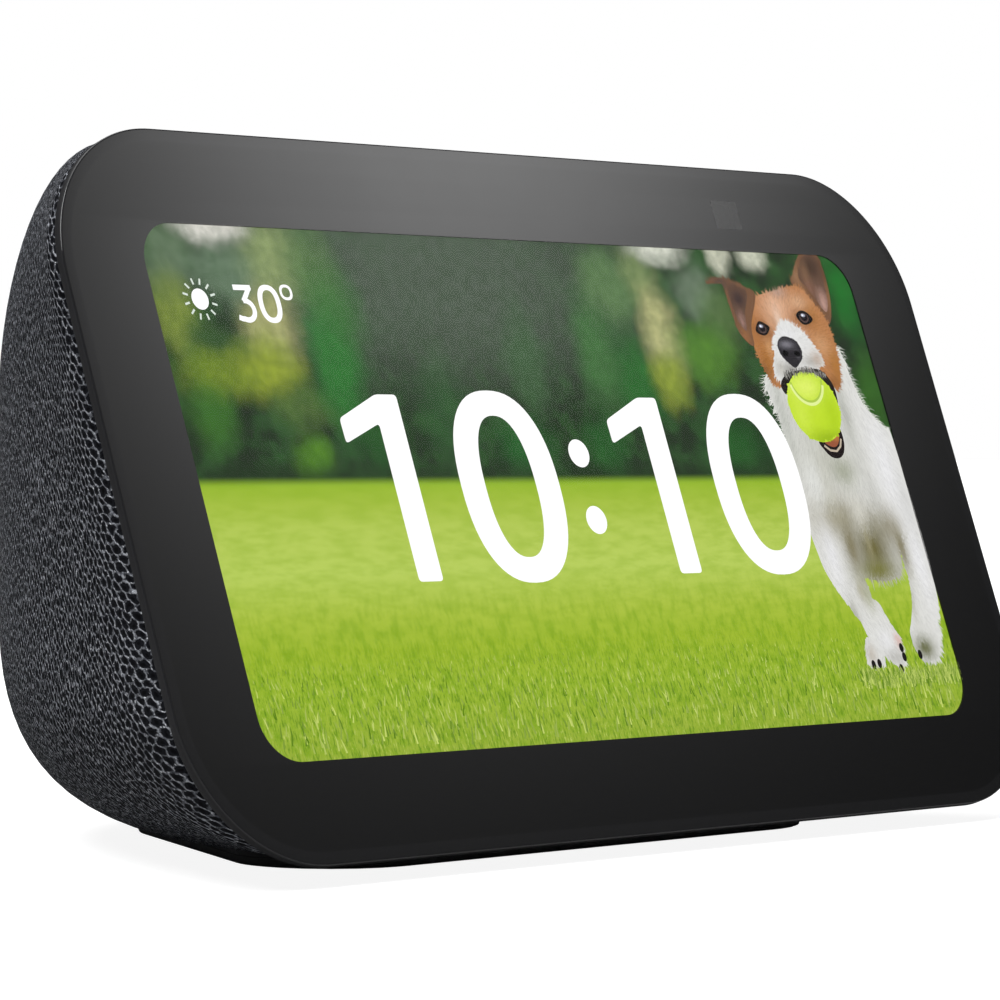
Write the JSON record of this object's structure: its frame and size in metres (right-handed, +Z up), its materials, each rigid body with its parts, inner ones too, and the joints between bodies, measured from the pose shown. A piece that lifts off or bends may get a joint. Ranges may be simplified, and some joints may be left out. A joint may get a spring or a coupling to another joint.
{
  "type": "smart display",
  "caption": "Tabletop smart display: a tilted glass-fronted touch screen on a fabric-covered speaker body with top buttons, a camera shutter and a rubber foot.",
  "frame": {"origin": "on the surface that the foot stands on, in the middle of the width and of the depth", "axes": "+X to the right seen from the front, +Y to the back, +Z up; the screen faces -Y and leans back"},
  "size_m": [0.147, 0.0908, 0.0819],
  "materials": {
    "glass": "clear glass with a black printed border",
    "tape": "black foam tape",
    "frame_plastic": "fine satin moulded charcoal plastic",
    "display": "lit display panel",
    "light_guide": "white light guide",
    "pressed_steel": "pressed sheet",
    "screw_steel": "zinc plated",
    "shell_plastic": "matte moulded plastic",
    "knit_fabric": "charcoal knitted polyester with pale flecks",
    "foot_rubber": "soft matte rubber",
    "magnet_nickel": "nickel plated",
    "key_plastic": "soft touch moulded plastic",
    "circuit_board": "green solder mask",
    "component_metal": "tinned cans and contacts",
    "black_component": "moulded package",
    "boot_rubber": "soft rubber",
    "lens_glass": "coated lens",
    "pad_silicone": "soft silicone pad",
    "cast_aluminium": "stamped and finned",
    "socket_plastic": "cream moulded plastic",
    "flex_film": "amber film",
    "ferrite": "sintered ferrite",
    "plated_steel": "plated soft steel",
    "basket_steel": "black coated steel",
    "cone_paper": "pressed pulp",
    "coil_copper": "enamelled copper wire",
    "roll_rubber": "moulded rubber",
    "spider_cloth": "resin dipped cloth",
    "gasket_foam": "closed cell foam",
    "red_wire": "insulated wire",
    "pin_brass": "plated"
  },
  "bodies": {
    "housing": {"cover_glass": "glass", "glass_adhesive": "tape", "front_frame": "frame_plastic", "control_strip": "frame_plastic", "lcd_panel": "display", "backlight": "light_guide", "lcd_bracket": "pressed_steel", "bracket_screws": "screw_steel", "rear_shell": "shell_plastic", "fabric_cover": "knit_fabric", "base_plate": "shell_plastic", "rubber_foot": "foot_rubber", "base_screws": "screw_steel", "stand_magnets": "magnet_nickel", "button_board": "circuit_board", "button_switches": "component_metal", "button_board_screws": "screw_steel", "microphones": "component_metal", "mic_boots": "boot_rubber", "camera_module": "black_component", "camera_lens": "lens_glass", "camera_board": "circuit_board", "light_sensor": "component_metal", "main_board": "circuit_board", "processor": "black_component", "memory_chips": "black_component", "radio_shield": "component_metal", "thermal_pad": "pad_silicone", "heat_spreader": "cast_aluminium", "board_screws": "screw_steel", "board_connectors": "socket_plastic", "display_flex": "flex_film", "button_flex": "flex_film", "camera_flex": "flex_film", "antennas": "black_component", "speaker_enclosure": "shell_plastic", "speaker_basket": "basket_steel", "speaker_magnet": "ferrite", "speaker_plates": "plated_steel", "speaker_surround": "roll_rubber", "speaker_spider": "spider_cloth", "speaker_gasket": "gasket_foam", "speaker_screws": "screw_steel", "speaker_wires": "red_wire", "power_jack": "black_component", "jack_pin": "pin_brass", "jack_bezel": "frame_plastic", "power_wires": "red_wire"},
    "mic_off": {"mic_off_button": "key_plastic"},
    "volume_down": {"volume_down_button": "key_plastic"},
    "volume_up": {"volume_up_button": "key_plastic"},
    "shutter": {"shutter_knob": "key_plastic", "shutter_blade": "pressed_steel"},
    "cone": {"speaker_cone": "cone_paper", "voice_coil": "coil_copper"}
  },
  "joints": [
    {"name": "mic_off_press", "type": "slide", "parent": "housing", "child": "mic_off", "axis": [0, 0, -1], "range_m": [0, 0.0005], "stiffness_N_per_m": 2500, "springref_m": -0.0001},
    {"name": "volume_down_press", "type": "slide", "parent": "housing", "child": "volume_down", "axis": [0, 0, -1], "range_m": [0, 0.0005], "stiffness_N_per_m": 2500, "springref_m": -0.0001},
    {"name": "volume_up_press", "type": "slide", "parent": "housing", "child": "volume_up", "axis": [0, 0, -1], "range_m": [0, 0.0005], "stiffness_N_per_m": 2500, "springref_m": -0.0001},
    {"name": "shutter_slide", "type": "slide", "parent": "housing", "child": "shutter", "axis": [1, 0, 0], "range_m": [0, 0.0056]},
    {"name": "cone_stroke", "type": "slide", "parent": "housing", "child": "cone", "axis": [0, 1, 0], "range_m": [-0.001, 0.001], "stiffness_N_per_m": 1500, "deforming": ["speaker_surround", "speaker_spider"]}
  ]
}
